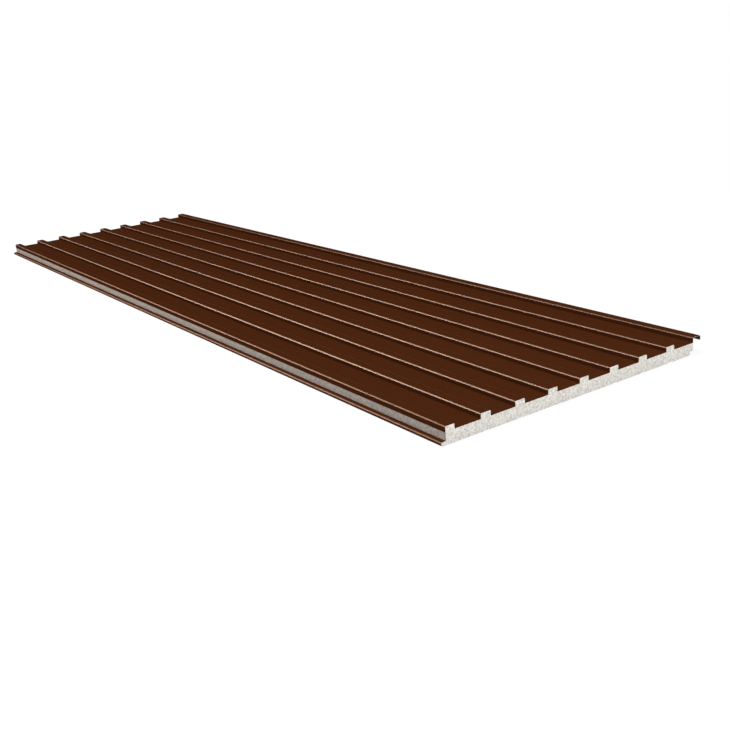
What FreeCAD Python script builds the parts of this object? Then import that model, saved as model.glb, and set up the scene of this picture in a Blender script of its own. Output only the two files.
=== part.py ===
"""Insulated sandwich panel: a ribbed steel roof and wall panel, in millimetres.

Two colour-coated steel facings are bonded to one rigid foam core. The outer facing is
roll-formed with low box ribs. Its rib on the left is filled with foam. Its rib on the
right is hollow, and laps over the left rib of the next panel. The inner facing is
lined with shallow swages, is folded round a tongue of foam on the left, and is folded
into a rebate on the right that takes the tongue of the next panel.

The panel has one cross-section from end to end. Across the panel a section is measured
from the first pitch line, and upwards from the underside. Each inner rib begins on a
pitch line. The left rib is a little smaller, and begins just inside the first one. The
finished pieces are then moved sideways together, so that the origin is under the middle
of the panel. X runs along the ribs, Y runs towards the hollow rib, and Z is up.
"""

import FreeCAD, Part
import os
import re
import Sketcher

doc = FreeCAD.newDocument("sandwich_panel")

# ---------------------------------------------------------------- driving sizes

SIZES = {
    "panel_length": 3825.0,           # along the ribs
    "rib_pitch": 125.0,               # from one rib to the next
    "bay_count": 8,                   # pitches across the width that one panel covers
    "panel_thickness": 38.0,          # from the underside to the top of the pans
    "rib_height": 16.2,               # from the pan to the crown
    "rib_width": 35.2,                # across the outside of an inner rib
    "edge_rib_inset": 2.4,            # from the first pitch line to the left rib
    "edge_rib_width": 31.0,           # across the outside of the foam-filled left rib
    "edge_rib_height": 15.6,          # of the left rib, from the pan to its crown
    "outer_steel": 0.6,               # thickness of the outer facing
    "inner_steel": 0.5,               # thickness of the inner facing
    "bend_radius": 3.5,               # on the outside of every bend in either facing
    "edge_leg_drop": 2.5,             # how far the left leg reaches below the pan
    "lap_side_clearance": 1.2,        # hollow rib to the rib that it laps, each side
    "lap_top_clearance": 1.0,         # hollow rib to the rib that it laps, above it
    "lap_leg_clearance": 1.2,         # hollow rib's free leg to the pan of the next panel
    "tongue_width": 16.0,             # how far the tongue stands out past the left rib
    "tongue_height": 11.5,            # of the folded facing round the tongue
    "tongue_clearance": 0.8,          # tongue to the rebate of the next panel
    "swage_width": 24.0,              # across the mouth of a lining swage
    "swage_depth": 1.0,               # of a lining swage
    "swage_flank": 5.0,               # width of a swage's sloping side
}

sheet = doc.addObject("Spreadsheet::Sheet", "Sizes")
for row, (name, value) in enumerate(SIZES.items(), start=1):
    sheet.set(f"A{row}", name)
    sheet.set(f"B{row}", str(value))
    sheet.setAlias(f"B{row}", name)
doc.recompute()


def tied(formula):
    """The formula with each size's name pointing at its cell in the sheet."""
    return re.sub(r"[a-z_]+", lambda name: f"Sizes.{name[0]}", formula)


def value_of(formula):
    """What the formula comes to with the sizes as they are now."""
    return float(sheet.evalExpression(tied(formula)))


# ------------------------------------------------- levels and places, as formulas

# Levels of the outer facing: both faces of the pans and both faces of the crowns.
PAN = "panel_thickness"
PAN_BELOW = "panel_thickness - outer_steel"
CROWN = "panel_thickness + rib_height"
CROWN_BELOW = "panel_thickness + rib_height - outer_steel"
# The left rib is lower, and the hollow rib is high enough to go over such a rib.
EDGE_CROWN = "panel_thickness + edge_rib_height"
EDGE_CROWN_BELOW = "panel_thickness + edge_rib_height - outer_steel"
EDGE_LEG_END = "panel_thickness - edge_leg_drop"
LAP_CROWN = "panel_thickness + edge_rib_height + lap_top_clearance + outer_steel"
LAP_CROWN_BELOW = "panel_thickness + edge_rib_height + lap_top_clearance"
LAP_LEG_END = "panel_thickness + lap_leg_clearance"

# Half of the pan between two inner ribs. Sections are joined in the middle of pans.
HALF_PAN = "(rib_pitch - rib_width) / 2"
FIRST_JOINT = f"rib_pitch - {HALF_PAN}"
SECOND_JOINT = f"2 * rib_pitch - {HALF_PAN}"
LAST_JOINT = f"bay_count * rib_pitch - {HALF_PAN}"

# The first inner rib: the outer and the inner face of its two walls.
RIB_LEFT = "rib_pitch"
RIB_LEFT_INSIDE = "rib_pitch + outer_steel"
RIB_RIGHT = "rib_pitch + rib_width"
RIB_RIGHT_INSIDE = "rib_pitch + rib_width - outer_steel"

# The left rib, which stands over the tongue.
EDGE_LEFT = "edge_rib_inset"
EDGE_LEFT_INSIDE = "edge_rib_inset + outer_steel"
EDGE_RIGHT = "edge_rib_inset + edge_rib_width"
EDGE_RIGHT_INSIDE = "edge_rib_inset + edge_rib_width - outer_steel"

# The hollow rib fits round the left rib of the next panel, one covered width along.
LAP_LEFT_INSIDE = f"bay_count * rib_pitch + {EDGE_LEFT} - lap_side_clearance"
LAP_LEFT = f"{LAP_LEFT_INSIDE} - outer_steel"
LAP_RIGHT_INSIDE = f"bay_count * rib_pitch + {EDGE_RIGHT} + lap_side_clearance"
LAP_RIGHT = f"{LAP_RIGHT_INSIDE} + outer_steel"

# The inner facing: the tongue on the left and the rebate on the right.
UNDERSIDE = "0"
INNER_ABOVE = "inner_steel"
TONGUE_LEFT = f"{EDGE_LEFT} - tongue_width"
TONGUE_LEFT_INSIDE = f"{TONGUE_LEFT} + inner_steel"
TONGUE_TOP = "tongue_height"
TONGUE_TOP_INSIDE = "tongue_height - inner_steel"
REBATE_WALL = f"bay_count * rib_pitch + {TONGUE_LEFT} - tongue_clearance"
REBATE_WALL_INSIDE = f"{REBATE_WALL} - inner_steel"
REBATE_TOP = "tongue_height + tongue_clearance"
REBATE_TOP_INSIDE = "tongue_height + tongue_clearance + inner_steel"

# A lining swage is pressed up into the inner facing under the middle of each inner rib.
SWAGE_START = "rib_pitch + rib_width / 2 - swage_width / 2"
SWAGE_END = "rib_pitch + rib_width / 2 + swage_width / 2"
SWAGE_LEFT = f"{SWAGE_START} + swage_flank"
SWAGE_RIGHT = f"{SWAGE_END} - swage_flank"
SWAGE_TOP = "swage_depth"
SWAGE_TOP_INSIDE = "swage_depth + inner_steel"

# Bends: the outside of a bend, and the inside of it in either facing.
OUTSIDE = "bend_radius"
INSIDE_OUTER = "bend_radius - outer_steel"
INSIDE_INNER = "bend_radius - inner_steel"

# ------------------------------------------------------------------- modelling


def origin_feature(body, role):
    """One of the planes or axes of a body's own origin."""
    return next(feature for feature in body.Origin.OriginFeatures if feature.Role == role)


def section_sketch(body, name, corners):
    """A closed section across the panel, drawn on the body's own YZ plane.

    Each corner is (across, up) or (across, up, radius), as formulas of the sizes. A
    corner with a radius becomes a tangent arc. Straight sides that run level or upright
    are held so and placed by one dimension each; the ends of sloping sides are placed
    one by one.
    """
    sketch = body.newObject("Sketcher::SketchObject", name)
    sketch.AttachmentSupport = [(origin_feature(body, "YZ_Plane"), "")]
    sketch.MapMode = "FlatFace"
    count = len(corners)
    points = [FreeCAD.Vector(value_of(corner[0]), value_of(corner[1]), 0) for corner in corners]
    radii = [corner[2] if len(corner) > 2 else None for corner in corners]

    def towards(start, end):
        return (points[end] - points[start]).normalize()

    def trimmed(corner, neighbour):
        """Where the straight side from this corner to its neighbour really starts."""
        if radii[corner] is None:
            return points[corner]
        return points[corner] + towards(corner, neighbour) * value_of(radii[corner])

    sides = []
    for here in range(count):
        ahead = (here + 1) % count
        line = Part.LineSegment(trimmed(here, ahead), trimmed(ahead, here))
        sides.append(sketch.addGeometry(line, False))

    def place(kind, formula, side, end):
        """Dimension from the sketch's origin to one end of a side."""
        amount = value_of(formula)
        if abs(amount) < 1e-9:
            axis = -2 if kind == "DistanceX" else -1
            sketch.addConstraint(Sketcher.Constraint("PointOnObject", side, end, axis))
            return
        dimension = sketch.addConstraint(Sketcher.Constraint(kind, -1, 1, side, end, amount))
        sketch.setExpression(f"Constraints[{dimension}]", tied(formula))

    def kind_of(side):
        start, end = corners[side], corners[(side + 1) % count]
        if start[0] == end[0]:
            return "Vertical"
        return "Horizontal" if start[1] == end[1] else "Sloping"

    for side in range(count):
        if kind_of(side) == "Vertical":
            sketch.addConstraint(Sketcher.Constraint("Vertical", sides[side]))
            place("DistanceX", corners[side][0], sides[side], 1)
        elif kind_of(side) == "Horizontal":
            sketch.addConstraint(Sketcher.Constraint("Horizontal", sides[side]))
            place("DistanceY", corners[side][1], sides[side], 1)

    for here in range(count):
        before = (here - 1) % count
        side_in, side_out = sides[before], sides[here]
        if radii[here] is None:
            sketch.addConstraint(Sketcher.Constraint("Coincident", side_in, 2, side_out, 1))
            kinds = (kind_of(before), kind_of(here))
            if "Sloping" in kinds and "Vertical" not in kinds:
                place("DistanceX", corners[here][0], side_out, 1)
            if "Sloping" in kinds and "Horizontal" not in kinds:
                place("DistanceY", corners[here][1], side_out, 1)
            continue
        start, end = trimmed(here, before), trimmed(here, (here + 1) % count)
        radius = value_of(radii[here])
        centre = start + end - points[here]
        middle = centre + (points[here] - centre).normalize() * radius
        arc = sketch.addGeometry(Part.Arc(start, middle, end), False)
        turn = (points[here] - points[before]).cross(points[(here + 1) % count] - points[here]).z
        first, last = (1, 2) if turn > 0 else (2, 1)
        sketch.addConstraint(Sketcher.Constraint("Tangent", side_in, 2, arc, first))
        sketch.addConstraint(Sketcher.Constraint("Tangent", arc, last, side_out, 1))
        dimension = sketch.addConstraint(Sketcher.Constraint("Radius", arc, radius))
        sketch.setExpression(f"Constraints[{dimension}]", tied(radii[here]))
    return sketch


def full_length_pad(body, name, corners):
    """The section run out to both ends of the panel."""
    sketch = section_sketch(body, f"{name}_section", corners)
    pad = body.newObject("PartDesign::Pad", name)
    pad.Profile = sketch
    pad.SideType = "Symmetric"
    pad.setExpression("Length", tied("panel_length"))
    pad.Refine = True
    body.Tip = pad
    return pad


def repeat_across(body, name, bay):
    """The bay again under each inner rib, up to the last joint."""
    pattern = body.newObject("PartDesign::LinearPattern", name)
    pattern.Originals = [bay]
    pattern.Direction = (origin_feature(body, "Y_Axis"), [""])
    pattern.Mode = "Spacing"
    pattern.setExpression("Offset", tied("rib_pitch"))
    pattern.setExpression("Occurrences", tied("bay_count - 1"))
    pattern.Refine = True
    body.Tip = pattern
    return pattern


def panel_piece(name, left_edge, bay, right_edge):
    """One piece of the panel: its left edge, a bay for each inner rib, its right edge."""
    body = doc.addObject("PartDesign::Body", name)
    body.Label = name
    full_length_pad(body, f"{name}_left_edge", left_edge)
    repeat_across(body, f"{name}_bays", full_length_pad(body, f"{name}_bay", bay))
    full_length_pad(body, f"{name}_right_edge", right_edge)
    body.setExpression(".Placement.Base.y", tied(f"-({TONGUE_LEFT} + {LAP_RIGHT}) / 2"))
    return body


# ---------------------------------------------------------------- outer facing

# The left rib has a free leg on its outer side that covers the top of the foam's edge.
outer_left_edge = [
    (EDGE_LEFT, EDGE_LEG_END),
    (EDGE_LEFT_INSIDE, EDGE_LEG_END),
    (EDGE_LEFT_INSIDE, EDGE_CROWN_BELOW, INSIDE_OUTER),
    (EDGE_RIGHT_INSIDE, EDGE_CROWN_BELOW, INSIDE_OUTER),
    (EDGE_RIGHT_INSIDE, PAN_BELOW, OUTSIDE),
    (FIRST_JOINT, PAN_BELOW),
    (FIRST_JOINT, PAN),
    (EDGE_RIGHT, PAN, INSIDE_OUTER),
    (EDGE_RIGHT, EDGE_CROWN, OUTSIDE),
    (EDGE_LEFT, EDGE_CROWN, OUTSIDE),
]

# A box rib between two half pans.
outer_bay = [
    (FIRST_JOINT, PAN_BELOW),
    (RIB_LEFT_INSIDE, PAN_BELOW, OUTSIDE),
    (RIB_LEFT_INSIDE, CROWN_BELOW, INSIDE_OUTER),
    (RIB_RIGHT_INSIDE, CROWN_BELOW, INSIDE_OUTER),
    (RIB_RIGHT_INSIDE, PAN_BELOW, OUTSIDE),
    (SECOND_JOINT, PAN_BELOW),
    (SECOND_JOINT, PAN),
    (RIB_RIGHT, PAN, INSIDE_OUTER),
    (RIB_RIGHT, CROWN, OUTSIDE),
    (RIB_LEFT, CROWN, OUTSIDE),
    (RIB_LEFT, PAN, INSIDE_OUTER),
    (FIRST_JOINT, PAN),
]

# The hollow rib, whose free leg ends just over the pan of the next panel.
outer_right_edge = [
    (LAST_JOINT, PAN_BELOW),
    (LAP_LEFT_INSIDE, PAN_BELOW, OUTSIDE),
    (LAP_LEFT_INSIDE, LAP_CROWN_BELOW, INSIDE_OUTER),
    (LAP_RIGHT_INSIDE, LAP_CROWN_BELOW, INSIDE_OUTER),
    (LAP_RIGHT_INSIDE, LAP_LEG_END),
    (LAP_RIGHT, LAP_LEG_END),
    (LAP_RIGHT, LAP_CROWN, OUTSIDE),
    (LAP_LEFT, LAP_CROWN, OUTSIDE),
    (LAP_LEFT, PAN, INSIDE_OUTER),
    (LAST_JOINT, PAN),
]

# ------------------------------------------------------------------- foam core

# The tongue is filled inside the folded facing, and the left rib is filled to its crown.
foam_left_edge = [
    (TONGUE_LEFT_INSIDE, INNER_ABOVE, INSIDE_INNER),
    (FIRST_JOINT, INNER_ABOVE),
    (FIRST_JOINT, PAN_BELOW),
    (EDGE_RIGHT_INSIDE, PAN_BELOW, OUTSIDE),
    (EDGE_RIGHT_INSIDE, EDGE_CROWN_BELOW, INSIDE_OUTER),
    (EDGE_LEFT_INSIDE, EDGE_CROWN_BELOW, INSIDE_OUTER),
    (EDGE_LEFT_INSIDE, TONGUE_TOP_INSIDE),
    (TONGUE_LEFT_INSIDE, TONGUE_TOP_INSIDE, INSIDE_INNER),
]

# Each inner rib is filled, and each lining swage is pressed up into the foam.
foam_bay = [
    (FIRST_JOINT, INNER_ABOVE),
    (SWAGE_START, INNER_ABOVE),
    (SWAGE_LEFT, SWAGE_TOP_INSIDE),
    (SWAGE_RIGHT, SWAGE_TOP_INSIDE),
    (SWAGE_END, INNER_ABOVE),
    (SECOND_JOINT, INNER_ABOVE),
    (SECOND_JOINT, PAN_BELOW),
    (RIB_RIGHT_INSIDE, PAN_BELOW, OUTSIDE),
    (RIB_RIGHT_INSIDE, CROWN_BELOW, INSIDE_OUTER),
    (RIB_LEFT_INSIDE, CROWN_BELOW, INSIDE_OUTER),
    (RIB_LEFT_INSIDE, PAN_BELOW, OUTSIDE),
    (FIRST_JOINT, PAN_BELOW),
]

# The foam ends flush with the hollow rib's inner wall, over the rebate for the tongue.
foam_right_edge = [
    (LAST_JOINT, INNER_ABOVE),
    (REBATE_WALL_INSIDE, INNER_ABOVE, INSIDE_INNER),
    (REBATE_WALL_INSIDE, REBATE_TOP_INSIDE, OUTSIDE),
    (LAP_LEFT_INSIDE, REBATE_TOP_INSIDE),
    (LAP_LEFT_INSIDE, PAN_BELOW),
    (LAST_JOINT, PAN_BELOW),
]

# ---------------------------------------------------------------- inner facing

# The facing is folded up and back over the tongue, and stops at the foam's left face.
inner_left_edge = [
    (TONGUE_LEFT, UNDERSIDE, OUTSIDE),
    (FIRST_JOINT, UNDERSIDE),
    (FIRST_JOINT, INNER_ABOVE),
    (TONGUE_LEFT_INSIDE, INNER_ABOVE, INSIDE_INNER),
    (TONGUE_LEFT_INSIDE, TONGUE_TOP_INSIDE, INSIDE_INNER),
    (EDGE_LEFT_INSIDE, TONGUE_TOP_INSIDE),
    (EDGE_LEFT_INSIDE, TONGUE_TOP),
    (TONGUE_LEFT, TONGUE_TOP, OUTSIDE),
]

# One lining swage between two flat strips.
inner_bay = [
    (FIRST_JOINT, UNDERSIDE),
    (SWAGE_START, UNDERSIDE),
    (SWAGE_LEFT, SWAGE_TOP),
    (SWAGE_RIGHT, SWAGE_TOP),
    (SWAGE_END, UNDERSIDE),
    (SECOND_JOINT, UNDERSIDE),
    (SECOND_JOINT, INNER_ABOVE),
    (SWAGE_END, INNER_ABOVE),
    (SWAGE_RIGHT, SWAGE_TOP_INSIDE),
    (SWAGE_LEFT, SWAGE_TOP_INSIDE),
    (SWAGE_START, INNER_ABOVE),
    (FIRST_JOINT, INNER_ABOVE),
]

# The facing is folded up the wall of the rebate and out along its top.
inner_right_edge = [
    (LAST_JOINT, UNDERSIDE),
    (REBATE_WALL, UNDERSIDE, OUTSIDE),
    (REBATE_WALL, REBATE_TOP, INSIDE_INNER),
    (LAP_LEFT_INSIDE, REBATE_TOP),
    (LAP_LEFT_INSIDE, REBATE_TOP_INSIDE),
    (REBATE_WALL_INSIDE, REBATE_TOP_INSIDE, OUTSIDE),
    (REBATE_WALL_INSIDE, INNER_ABOVE, INSIDE_INNER),
    (LAST_JOINT, INNER_ABOVE),
]

pieces = [
    panel_piece("outer_sheet", outer_left_edge, outer_bay, outer_right_edge),
    panel_piece("foam_core", foam_left_edge, foam_bay, foam_right_edge),
    panel_piece("inner_sheet", inner_left_edge, inner_bay, inner_right_edge),
]
doc.recompute()

# ------------------------------------------------------------ checks and export

failed = [feature.Name for feature in doc.Objects if {"Invalid", "Error"} & set(feature.State)]
if failed:
    raise SystemExit(f"these features did not build: {', '.join(failed)}")
for piece in pieces:
    if piece.Shape.isNull() or not piece.Shape.isValid() or len(piece.Shape.Solids) != 1:
        raise SystemExit(f"{piece.Label} is not one valid solid")

os.makedirs("parts", exist_ok=True)
for piece in pieces:
    piece.Shape.exportStep(f"parts/{piece.Label}.step")
    box = piece.Shape.BoundBox
    print(f"{piece.Label}: {piece.Shape.Volume / 1e6:.3f} dm3,",
          f"Y {box.YMin:.2f} to {box.YMax:.2f}, Z {box.ZMin:.2f} to {box.ZMax:.2f}")
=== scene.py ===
import math
import bmesh
import bpy
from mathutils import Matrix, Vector


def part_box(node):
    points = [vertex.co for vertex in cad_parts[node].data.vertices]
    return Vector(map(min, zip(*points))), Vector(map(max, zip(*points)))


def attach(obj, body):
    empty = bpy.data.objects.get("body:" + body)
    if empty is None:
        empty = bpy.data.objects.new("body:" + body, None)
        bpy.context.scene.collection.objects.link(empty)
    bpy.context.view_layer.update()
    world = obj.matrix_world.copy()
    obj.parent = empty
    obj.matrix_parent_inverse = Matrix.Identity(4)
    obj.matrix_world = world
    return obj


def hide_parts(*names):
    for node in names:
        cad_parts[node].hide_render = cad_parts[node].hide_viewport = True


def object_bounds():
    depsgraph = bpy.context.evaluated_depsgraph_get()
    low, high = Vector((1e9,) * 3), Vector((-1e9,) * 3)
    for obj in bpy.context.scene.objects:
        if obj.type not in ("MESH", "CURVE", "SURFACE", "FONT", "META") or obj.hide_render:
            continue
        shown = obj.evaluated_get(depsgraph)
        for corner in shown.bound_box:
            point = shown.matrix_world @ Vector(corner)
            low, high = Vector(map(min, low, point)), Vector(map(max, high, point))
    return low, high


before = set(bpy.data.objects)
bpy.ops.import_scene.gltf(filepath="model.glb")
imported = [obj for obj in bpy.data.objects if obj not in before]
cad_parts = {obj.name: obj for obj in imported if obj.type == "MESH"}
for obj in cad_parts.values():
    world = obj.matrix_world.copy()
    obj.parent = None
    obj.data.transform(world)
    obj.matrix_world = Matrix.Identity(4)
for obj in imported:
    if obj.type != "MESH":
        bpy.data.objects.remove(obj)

cad_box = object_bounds()

# ---------------------------------------------------------------- outer facing
# The outer facing is one strip of coil-coated steel, roll-formed into eight filled box
# ribs and a hollow one that laps over the next panel. Its face has a satin chocolate
# coating, its back a thin grey one, painted darker than a real primer as painted shade for
# the inside of the hollow lap rib, and its cut edges are bare zinc-coated steel.

panel_length = cad_box[1][0] - cad_box[0][0]
rib_pitch = 0.125
bays = 8
rib_width = 0.0352
edge_rib_inset = 0.0024
edge_rib_width = 0.031
lap_rib_width = 0.0346
pan_level = 0.038
crown_level = 0.0542
edge_crown_level = 0.0536
lap_crown_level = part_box("outer_sheet")[1][2]
edge_leg_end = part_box("outer_sheet")[0][2]
lap_leg_end = 0.0392
outer_steel = 0.0006
bend_radius = 0.0035
foot_radius = 0.001
quarter_turn = math.radians(90)
quarter_turn_steps = 8
smooth_angle = math.radians(40)
same_place = 0.00001

edge_rib_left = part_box("outer_sheet")[0][1]
first_pitch_line = edge_rib_left - edge_rib_inset
lap_rib_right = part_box("outer_sheet")[1][1]
lap_rib_left = lap_rib_right - lap_rib_width


def select_along(piece, places):
    """In edit mode, select the edges that run along the panel at these (across, up) places."""
    bpy.ops.mesh.select_all(action="DESELECT")
    mesh = bmesh.from_edit_mesh(piece.data)
    for edge in mesh.edges:
        ends = [vertex.co for vertex in edge.verts]
        edge.select = any(
            all(math.hypot(end.y - across, end.z - up) < same_place for end in ends)
            for across, up in places
        )
    mesh.select_flush_mode()
    bmesh.update_edit_mesh(piece.data)


def folded_strip(name, corners, bends):
    """A strip as long as the panel, folded at its corners and then bent to its radii.

    The corners are (across, up) places, in order with the outer face on the right. Each
    bend is a radius, the angle turned at the corners that have it, and those corners.
    """
    bpy.ops.object.select_all(action="DESELECT")
    plane_size = 1
    bpy.ops.mesh.primitive_plane_add(size=plane_size)
    strip = bpy.context.object
    strip.name = name
    strip.data.name = name
    bpy.ops.object.mode_set(mode="EDIT")
    bpy.ops.mesh.select_mode(type="EDGE")
    mesh = bmesh.from_edit_mesh(strip.data)
    for vertex in mesh.verts:
        vertex.select = vertex.co.y > 0
    bmesh.update_edit_mesh(strip.data)
    bpy.ops.mesh.delete(type="VERT")
    bpy.ops.mesh.select_all(action="SELECT")
    bpy.ops.transform.resize(value=(panel_length, 1, 1))
    across, up = corners[0]
    bpy.ops.transform.translate(value=(0, across + plane_size / 2, up))
    for here, ahead in zip(corners, corners[1:]):
        step = (0, ahead[0] - here[0], ahead[1] - here[1])
        bpy.ops.mesh.extrude_edges_move(TRANSFORM_OT_translate={"value": step})
    bpy.ops.mesh.select_all(action="SELECT")
    bpy.ops.mesh.remove_doubles(threshold=same_place)
    for radius, turn, places in bends:
        select_along(strip, places)
        bpy.ops.mesh.bevel(
            offset_type="OFFSET", offset=radius * math.tan(turn / 2),
            segments=max(2, round(quarter_turn_steps * turn / quarter_turn)), profile=0.5,
        )
    bpy.ops.object.mode_set(mode="OBJECT")
    return strip


def thicken(strip, steel):
    """Give a folded strip its steel, on the inner side, and smooth its bends.

    Its back takes the second of its materials, and its cut edges the third.
    """
    wall = strip.modifiers.new("steel", "SOLIDIFY")
    wall.thickness = steel
    wall.offset = -1
    wall.use_even_offset = True
    wall.material_offset = 1
    wall.material_offset_rim = 2
    bpy.ops.object.modifier_apply(modifier=wall.name)
    bpy.ops.object.shade_smooth_by_angle(angle=smooth_angle)
    flats = strip.modifiers.new("flat faces", "WEIGHTED_NORMAL")
    flats.keep_sharp = True
    bpy.ops.object.modifier_apply(modifier=flats.name)


outer_corners = [
    (edge_rib_left, edge_leg_end),
    (edge_rib_left, edge_crown_level),
    (edge_rib_left + edge_rib_width, edge_crown_level),
    (edge_rib_left + edge_rib_width, pan_level),
]
for bay in range(1, bays):
    rib_left = first_pitch_line + bay * rib_pitch
    outer_corners += [
        (rib_left, pan_level),
        (rib_left, crown_level),
        (rib_left + rib_width, crown_level),
        (rib_left + rib_width, pan_level),
    ]
outer_corners += [
    (lap_rib_left, pan_level),
    (lap_rib_left, lap_crown_level),
    (lap_rib_right, lap_crown_level),
    (lap_rib_right, lap_leg_end),
]
feet = [corner for corner in outer_corners if corner[1] == pan_level]
crowns = [corner for corner in outer_corners[1:-1] if corner[1] > pan_level]
outer_facing = folded_strip("outer_facing", outer_corners[::-1], [
    (bend_radius, quarter_turn, crowns),
    (foot_radius, quarter_turn, feet),
])


def new_group(name, sockets_in, sockets_out):
    """An empty shader node group with these named sockets, and its two end nodes."""
    group = bpy.data.node_groups.new(name, "ShaderNodeTree")
    for label, kind in sockets_in:
        group.interface.new_socket(name=label, in_out="INPUT", socket_type=kind)
    for label, kind in sockets_out:
        group.interface.new_socket(name=label, in_out="OUTPUT", socket_type=kind)
    return group, group.nodes.new("NodeGroupInput"), group.nodes.new("NodeGroupOutput")


def spread(tree, source, low, high):
    """Map a 0 to 1 pattern to run from low to high."""
    node = tree.nodes.new("ShaderNodeMapRange")
    node.inputs["To Min"].default_value = low
    node.inputs["To Max"].default_value = high
    tree.links.new(source, node.inputs["Value"])
    return node.outputs["Result"]


def pattern(tree, place, size, detail, squeeze=(1, 1, 1)):
    """Soft noise about one size across, drawn out along the axes that are squeezed."""
    mapping = tree.nodes.new("ShaderNodeMapping")
    mapping.inputs["Scale"].default_value = squeeze
    tree.links.new(place, mapping.inputs["Vector"])
    noise = tree.nodes.new("ShaderNodeTexNoise")
    noise.inputs["Scale"].default_value = 1 / size
    noise.inputs["Detail"].default_value = detail
    tree.links.new(mapping.outputs["Vector"], noise.inputs["Vector"])
    return noise.outputs["Fac"]


# Coil coating: slow drift in tone, faint streaks along the run, and fine orange peel.
coil_coating, group_in, group_out = new_group(
    "coil coating",
    [("Coating", "NodeSocketColor"), ("Satin", "NodeSocketFloat"),
     ("Streaks", "NodeSocketFloat")],
    [("Colour", "NodeSocketColor"), ("Roughness", "NodeSocketFloat"),
     ("Height", "NodeSocketFloat")],
)
place = coil_coating.nodes.new("ShaderNodeTexCoord").outputs["Object"]
drift = pattern(coil_coating, place, size=0.35, detail=2, squeeze=(0.4, 1, 1))
streaks = pattern(coil_coating, place, size=0.011, detail=3, squeeze=(0.012, 1, 1))
peel = pattern(coil_coating, place, size=0.0016, detail=1)
tone = coil_coating.nodes.new("ShaderNodeMath")
tone.operation = "MULTIPLY"
coil_coating.links.new(spread(coil_coating, drift, 0.93, 1.07), tone.inputs[0])
coil_coating.links.new(spread(coil_coating, streaks, 0.97, 1.03), tone.inputs[1])
tint = coil_coating.nodes.new("ShaderNodeVectorMath")
tint.operation = "SCALE"
coil_coating.links.new(group_in.outputs["Coating"], tint.inputs[0])
coil_coating.links.new(tone.outputs["Value"], tint.inputs["Scale"])
coil_coating.links.new(tint.outputs["Vector"], group_out.inputs["Colour"])
sheen = coil_coating.nodes.new("ShaderNodeMath")
sheen.operation = "MULTIPLY_ADD"
coil_coating.links.new(spread(coil_coating, streaks, -0.04, 0.04), sheen.inputs[0])
coil_coating.links.new(group_in.outputs["Streaks"], sheen.inputs[1])
coil_coating.links.new(group_in.outputs["Satin"], sheen.inputs[2])
coil_coating.links.new(sheen.outputs["Value"], group_out.inputs["Roughness"])
coil_coating.links.new(peel, group_out.inputs["Height"])


def new_material(name):
    """A material with its own nodes, and its Principled shader."""
    material = bpy.data.materials.new(name)
    material.use_nodes = True
    return material, material.node_tree.nodes["Principled BSDF"]


def add_bump(tree, shader, height, depth):
    """Raise the surface by up to the depth where the pattern is 1."""
    bump = tree.nodes.new("ShaderNodeBump")
    bump.inputs["Distance"].default_value = depth
    tree.links.new(height, bump.inputs["Height"])
    tree.links.new(bump.outputs["Normal"], shader.inputs["Normal"])


def coated_steel(name, colour, satin, streaks, peel_depth):
    """Painted steel: the coil coating in one colour, with its own satin, streaks and peel."""
    material, shader = new_material(name)
    tree = material.node_tree
    coat = tree.nodes.new("ShaderNodeGroup")
    coat.node_tree = coil_coating
    coat.inputs["Coating"].default_value = (*colour, 1)
    coat.inputs["Satin"].default_value = satin
    coat.inputs["Streaks"].default_value = streaks
    tree.links.new(coat.outputs["Colour"], shader.inputs["Base Color"])
    tree.links.new(coat.outputs["Roughness"], shader.inputs["Roughness"])
    add_bump(tree, shader, coat.outputs["Height"], peel_depth)
    return material


def polish_bends(material):
    """Let the coating shine where the rolls have stretched it round a bend."""
    tree = material.node_tree
    shader = tree.nodes["Principled BSDF"]
    bends = tree.nodes.new("ShaderNodeAttribute")
    bends.attribute_name = "bend"
    tree.links.new(bends.outputs["Fac"], shader.inputs["Coat Weight"])
    shader.inputs["Coat Roughness"].default_value = 0.58
    shader.inputs["Specular IOR Level"].default_value = 0.0


def mark_bends(strip, above, shine, edge_shine):
    """Give the bends above this height their shine, which is less along the two long edges."""
    first_pan = edge_rib_left + edge_rib_width
    last_pan_end = lap_rib_left - foot_radius
    square_on = 0.9999
    bend = strip.data.attributes.new("bend", "FLOAT", "FACE")
    for face in strip.data.polygons:
        flat = max(abs(face.normal.y), abs(face.normal.z)) > square_on
        if not flat and face.center.z > above:
            between_edges = first_pan < face.center.y < last_pan_end
            bend.data[face.index].value = shine if between_edges else edge_shine


chocolate_brown = (0.0428, 0.0127, 0.0042)
chocolate = coated_steel(
    "chocolate coating", chocolate_brown, satin=0.3, streaks=1.0, peel_depth=0.000012)
polish_bends(chocolate)
# The back coat is real, but its grey is painted darker than a real primer: painted shade for
# the inside of the hollow lap rib.
shade_darkened_back_coat = coated_steel(
    "grey back coat with painted shade", (0.085, 0.075, 0.068), satin=0.55, streaks=1.0, peel_depth=0.000008)

# Slit and sheared edges: bright zinc and steel, brushed across by the blade.
cut_edge, shader = new_material("cut steel edge")
tree = cut_edge.node_tree
place = tree.nodes.new("ShaderNodeTexCoord").outputs["Object"]
blade_marks = pattern(tree, place, size=0.0008, detail=2, squeeze=(1, 1, 0.1))
ramp = tree.nodes.new("ShaderNodeValToRGB")
ramp.color_ramp.elements[0].color = (0.62, 0.6, 0.58, 1)
ramp.color_ramp.elements[1].color = (0.88, 0.86, 0.84, 1)
tree.links.new(blade_marks, ramp.inputs["Fac"])
tree.links.new(ramp.outputs["Color"], shader.inputs["Base Color"])
tree.links.new(spread(tree, blade_marks, 0.4, 0.6), shader.inputs["Roughness"])
shader.inputs["Metallic"].default_value = 0.2
add_bump(tree, shader, blade_marks, depth=0.00002)

for material in (chocolate, shade_darkened_back_coat, cut_edge):
    outer_facing.data.materials.append(material)
thicken(outer_facing, outer_steel)
mark_bends(outer_facing, above=pan_level + foot_radius, shine=1.0, edge_shine=0.55)
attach(outer_facing, "root")
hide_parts("outer_sheet")
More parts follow.
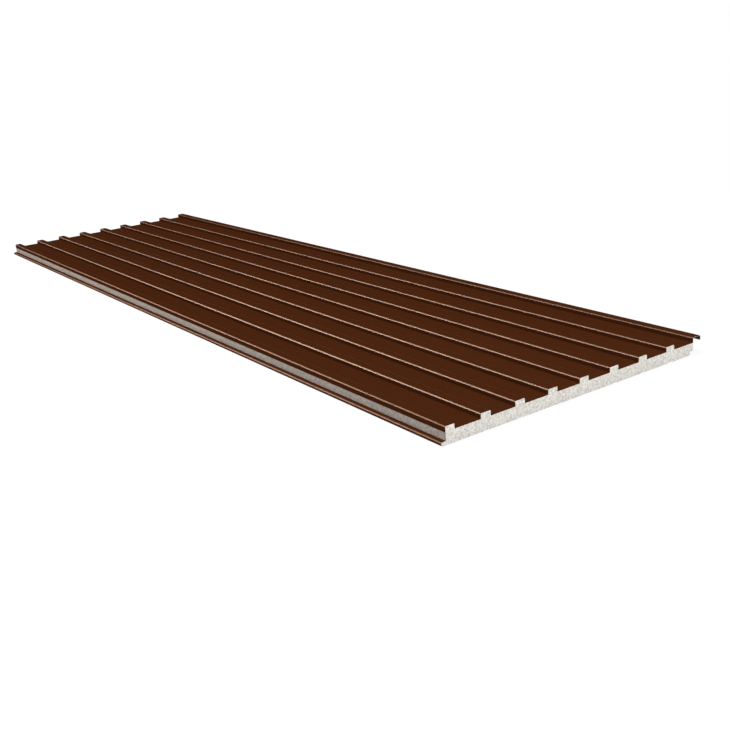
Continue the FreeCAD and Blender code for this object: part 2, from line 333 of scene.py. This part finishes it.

# ------------------------------------------------------------------- foam core
# The core is rigid polyurethane foam, poured between the facings on the line, where it
# sticks to both. It is sawn off square at the ends, so its cells show there. The long
# sides have a smoother, duller surface, and are painted a darker grey than the ends as
# painted shade for the light that does not reach them.

tongue_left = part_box("inner_sheet")[0][1]
tongue_top = 0.0115
rebate_wall = 0.4748
rebate_top = 0.0123
inner_steel = 0.0005
swage_width = 0.024
swage_depth = 0.001
swage_flank = 0.005

foam_left = edge_rib_left + outer_steel
foam_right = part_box("foam_core")[1][1]
foam_underside = inner_steel
pan_underside = pan_level - outer_steel
tongue_side = tongue_left + inner_steel
tongue_roof = tongue_top - inner_steel
rebate_side = rebate_wall - inner_steel
rebate_roof = rebate_top + inner_steel


def swages(level):
    """The corners of the swages, pressed up from this level under all but the two edge ribs."""
    corners = []
    for bay in range(1, bays):
        middle = first_pitch_line + bay * rib_pitch + rib_width / 2
        left = middle - swage_width / 2
        right = middle + swage_width / 2
        corners += [
            (left, level),
            (left + swage_flank, level + swage_depth),
            (right - swage_flank, level + swage_depth),
            (right, level),
        ]
    return corners


foam_corners = [(tongue_side, foam_underside)]
foam_corners += swages(foam_underside)
foam_corners += [
    (rebate_side, foam_underside),
    (rebate_side, rebate_roof),
    (foam_right, rebate_roof),
    (foam_right, pan_underside),
]
filled_crowns = []
filled_feet = []
for bay in reversed(range(1, bays)):
    rib_left = first_pitch_line + bay * rib_pitch + outer_steel
    rib_right = rib_left + rib_width - 2 * outer_steel
    rib_top = crown_level - outer_steel
    filled_feet += [(rib_right, pan_underside), (rib_left, pan_underside)]
    filled_crowns += [(rib_right, rib_top), (rib_left, rib_top)]
    foam_corners += [filled_feet[-2], filled_crowns[-2], filled_crowns[-1], filled_feet[-1]]
edge_rib_right = edge_rib_left + edge_rib_width - outer_steel
edge_rib_top = edge_crown_level - outer_steel
filled_feet.append((edge_rib_right, pan_underside))
filled_crowns += [(edge_rib_right, edge_rib_top), (foam_left, edge_rib_top)]
foam_corners += [filled_feet[-1], filled_crowns[-2], filled_crowns[-1]]
foam_corners += [
    (foam_left, tongue_roof),
    (tongue_side, tongue_roof),
    (tongue_side, foam_underside),
]
foam_core = folded_strip("rigid_foam_core", foam_corners, [
    (bend_radius - outer_steel, quarter_turn, filled_crowns),
    (foot_radius + outer_steel, quarter_turn, filled_feet),
    (bend_radius, quarter_turn, [(rebate_side, rebate_roof)]),
    (bend_radius - inner_steel, quarter_turn, [
        (tongue_side, foam_underside),
        (tongue_side, tongue_roof),
        (rebate_side, foam_underside),
    ]),
])
bpy.ops.object.mode_set(mode="EDIT")
bpy.ops.mesh.select_mode(type="EDGE")
for end in (panel_length / 2, -panel_length / 2):
    bpy.ops.mesh.select_all(action="DESELECT")
    mesh = bmesh.from_edit_mesh(foam_core.data)
    for edge in mesh.edges:
        edge.select = all(abs(vertex.co.x - end) < same_place for vertex in edge.verts)
    bmesh.update_edit_mesh(foam_core.data)
    bpy.ops.mesh.edge_face_add()
bpy.ops.mesh.select_all(action="SELECT")
bpy.ops.mesh.normals_make_consistent(inside=False)
bpy.ops.object.mode_set(mode="OBJECT")

# Foam cells: pale walls with darker hollows between them, in clumps of a few cells.
foam_cells, group_in, group_out = new_group(
    "foam cells",
    [("Foam", "NodeSocketColor"), ("Hollows", "NodeSocketColor")],
    [("Colour", "NodeSocketColor"), ("Height", "NodeSocketFloat")],
)
place = foam_cells.nodes.new("ShaderNodeTexCoord").outputs["Object"]
clumps = pattern(foam_cells, place, size=0.006, detail=2)
cells = pattern(foam_cells, place, size=0.0014, detail=1)
hollow = foam_cells.nodes.new("ShaderNodeMath")
hollow.operation = "ADD"
hollow.use_clamp = True
foam_cells.links.new(spread(foam_cells, clumps, -1.6, 2.2), hollow.inputs[0])
foam_cells.links.new(spread(foam_cells, cells, -0.7, 1.0), hollow.inputs[1])
blend = foam_cells.nodes.new("ShaderNodeMix")
blend.data_type = "RGBA"
foam_cells.links.new(hollow.outputs["Value"], blend.inputs["Factor"])
foam_cells.links.new(group_in.outputs["Foam"], blend.inputs["A"])
foam_cells.links.new(group_in.outputs["Hollows"], blend.inputs["B"])
foam_cells.links.new(blend.outputs["Result"], group_out.inputs["Colour"])
foam_cells.links.new(cells, group_out.inputs["Height"])


def rigid_foam(name, foam, hollows, depth, roughness):
    """Rigid foam with its cells showing."""
    material, shader = new_material(name)
    tree = material.node_tree
    cells = tree.nodes.new("ShaderNodeGroup")
    cells.node_tree = foam_cells
    cells.inputs["Foam"].default_value = (*foam, 1)
    cells.inputs["Hollows"].default_value = (*hollows, 1)
    tree.links.new(cells.outputs["Colour"], shader.inputs["Base Color"])
    shader.inputs["Roughness"].default_value = roughness
    shader.inputs["Specular IOR Level"].default_value = 0.05
    add_bump(tree, shader, cells.outputs["Height"], depth)
    return material


sawn_foam = rigid_foam(
    "sawn foam", (0.7, 0.69, 0.65), (0.47, 0.46, 0.43), depth=0.0005, roughness=0.95)
# The long sides: the same foam with a finer bump, painted a darker grey as painted shade.
foam_sides_painted_shade = rigid_foam(
    "foam sides with painted shade", (0.33, 0.325, 0.315), (0.2, 0.197, 0.19), depth=0.0002, roughness=0.7)
foam_core.data.materials.append(sawn_foam)
foam_core.data.materials.append(foam_sides_painted_shade)
# Every face but the sawn ends takes the darker grey foam, which is painted shade.
for face in foam_core.data.polygons:
    sawn = abs(face.normal.x) > 0.5
    face.material_index = 0 if sawn else 1
bpy.ops.object.shade_smooth_by_angle(angle=smooth_angle)
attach(foam_core, "root")
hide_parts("foam_core")

# ---------------------------------------------------------------- inner facing
# The inner facing is thinner coated steel with shallow swages rolled into it to stiffen
# it. Its left edge is folded round the foam as a tongue, and its right edge is folded
# into a rebate that takes the tongue of the next panel.

swage_bend = 0.002
swage_turn = math.atan(swage_depth / swage_flank)
tongue_corners = [
    (foam_left, tongue_top),
    (tongue_left, tongue_top),
    (tongue_left, 0),
]
swage_corners = swages(0)
rebate_corners = [
    (rebate_wall, 0),
    (rebate_wall, rebate_top),
    (foam_right, rebate_top),
]
inner_facing = folded_strip("inner_facing", tongue_corners + swage_corners + rebate_corners, [
    (bend_radius, quarter_turn, tongue_corners[1:] + rebate_corners[:1]),
    (bend_radius - inner_steel, quarter_turn, rebate_corners[1:2]),
    (swage_bend, swage_turn, swage_corners),
])
lining_coat = coated_steel(
    "chocolate lining", chocolate_brown, satin=0.3, streaks=0.8, peel_depth=0.00001)
polish_bends(lining_coat)
for material in (lining_coat, shade_darkened_back_coat, cut_edge):
    inner_facing.data.materials.append(material)
thicken(inner_facing, inner_steel)
mark_bends(inner_facing, above=0.0, shine=0.6, edge_shine=0.45)
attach(inner_facing, "root")
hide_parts("inner_sheet")

# ------------------------------------------------------------------- the stage
# The panel lies on a plain white floor. A wide, soft key lights it from its tongue side, a
# softbox lights the sawn end, and two warm lamps show only as the shine on the bends.

scene = bpy.context.scene
floor_gap = 0.0005
bpy.ops.object.select_all(action="DESELECT")
bpy.ops.mesh.primitive_plane_add(size=60, location=(0, 0, -floor_gap))
floor = bpy.context.object
floor.name = "floor"
white_floor, shader = new_material("white floor")
tree = white_floor.node_tree
glow_share = 0.85
shader.inputs["Base Color"].default_value = (0.4, 0.4, 0.4, 1)
shader.inputs["Roughness"].default_value = 1.0
glow = tree.nodes.new("ShaderNodeEmission")
glow.inputs["Strength"].default_value = 1.1
seen = tree.nodes.new("ShaderNodeLightPath")
share = tree.nodes.new("ShaderNodeMath")
share.operation = "MULTIPLY"
share.inputs[1].default_value = glow_share
mixed = tree.nodes.new("ShaderNodeMixShader")
tree.links.new(seen.outputs["Is Camera Ray"], share.inputs[0])
tree.links.new(share.outputs["Value"], mixed.inputs["Fac"])
tree.links.new(shader.outputs["BSDF"], mixed.inputs[1])
tree.links.new(glow.outputs["Emission"], mixed.inputs[2])
tree.links.new(mixed.outputs["Shader"], tree.nodes["Material Output"].inputs["Surface"])
floor.data.materials.append(white_floor)


def softbox(name, place, target, side, power):
    """A square lamp that faces its target."""
    lamp = bpy.data.objects.new(name, bpy.data.lights.new(name, "AREA"))
    scene.collection.objects.link(lamp)
    lamp.location = place
    lamp.rotation_euler = (Vector(target) - Vector(place)).to_track_quat("-Z", "Y").to_euler()
    lamp.data.size = side
    lamp.data.energy = power
    lamp.visible_camera = False
    return lamp


front = softbox("front", place=(6.2, 0.0, 1.4), target=(1.8, 0.0, 0.0), side=3.0, power=222)
front.visible_glossy = False
shine_lamps = (("shine near", -1.0, 860), ("shine far", -6.5, 170))
for name, along, power in shine_lamps:
    shine = softbox(name, (along, -2.5, 1.5), target=(0.0, 0.0, 0.0), side=2.6, power=power)
    shine.data.color = (1.0, 0.76, 0.59)
    shine.visible_diffuse = False
key_from = Vector((-0.47, -0.388, 0.793))
key = bpy.data.objects.new("key", bpy.data.lights.new("key", "SUN"))
scene.collection.objects.link(key)
key.rotation_euler = key_from.to_track_quat("Z", "Y").to_euler()
key.data.energy = 5.28
key.data.angle = math.radians(56)
key.data.color = (1.0, 0.93, 0.87)
key.visible_glossy = False

world = bpy.data.worlds.new("studio")
scene.world = world
world.use_nodes = True
tree = world.node_tree
backdrop = tree.nodes.new("ShaderNodeBackground")
backdrop.inputs["Color"].default_value = (1, 1, 1, 1)
room = tree.nodes["Background"]
room.inputs["Color"].default_value = (1.0, 0.75, 0.55, 1)
room.inputs["Strength"].default_value = 0.03
seen = tree.nodes.new("ShaderNodeLightPath")
mixed = tree.nodes.new("ShaderNodeMixShader")
tree.links.new(seen.outputs["Is Camera Ray"], mixed.inputs["Fac"])
tree.links.new(room.outputs["Background"], mixed.inputs[1])
tree.links.new(backdrop.outputs["Background"], mixed.inputs[2])
tree.links.new(mixed.outputs["Shader"], tree.nodes["World Output"].inputs["Surface"])
scene.view_settings.view_transform = "Standard"

camera = bpy.data.objects.new("camera", bpy.data.cameras.new("camera"))
scene.collection.objects.link(camera)
camera.location = (3.8556, -2.0127, 1.0647)
camera.rotation_euler = [math.radians(angle) for angle in (71.3576, 4.6540, 55.2382)]
camera.data.lens = 49.846
camera.data.clip_end = 200
scene.camera = camera
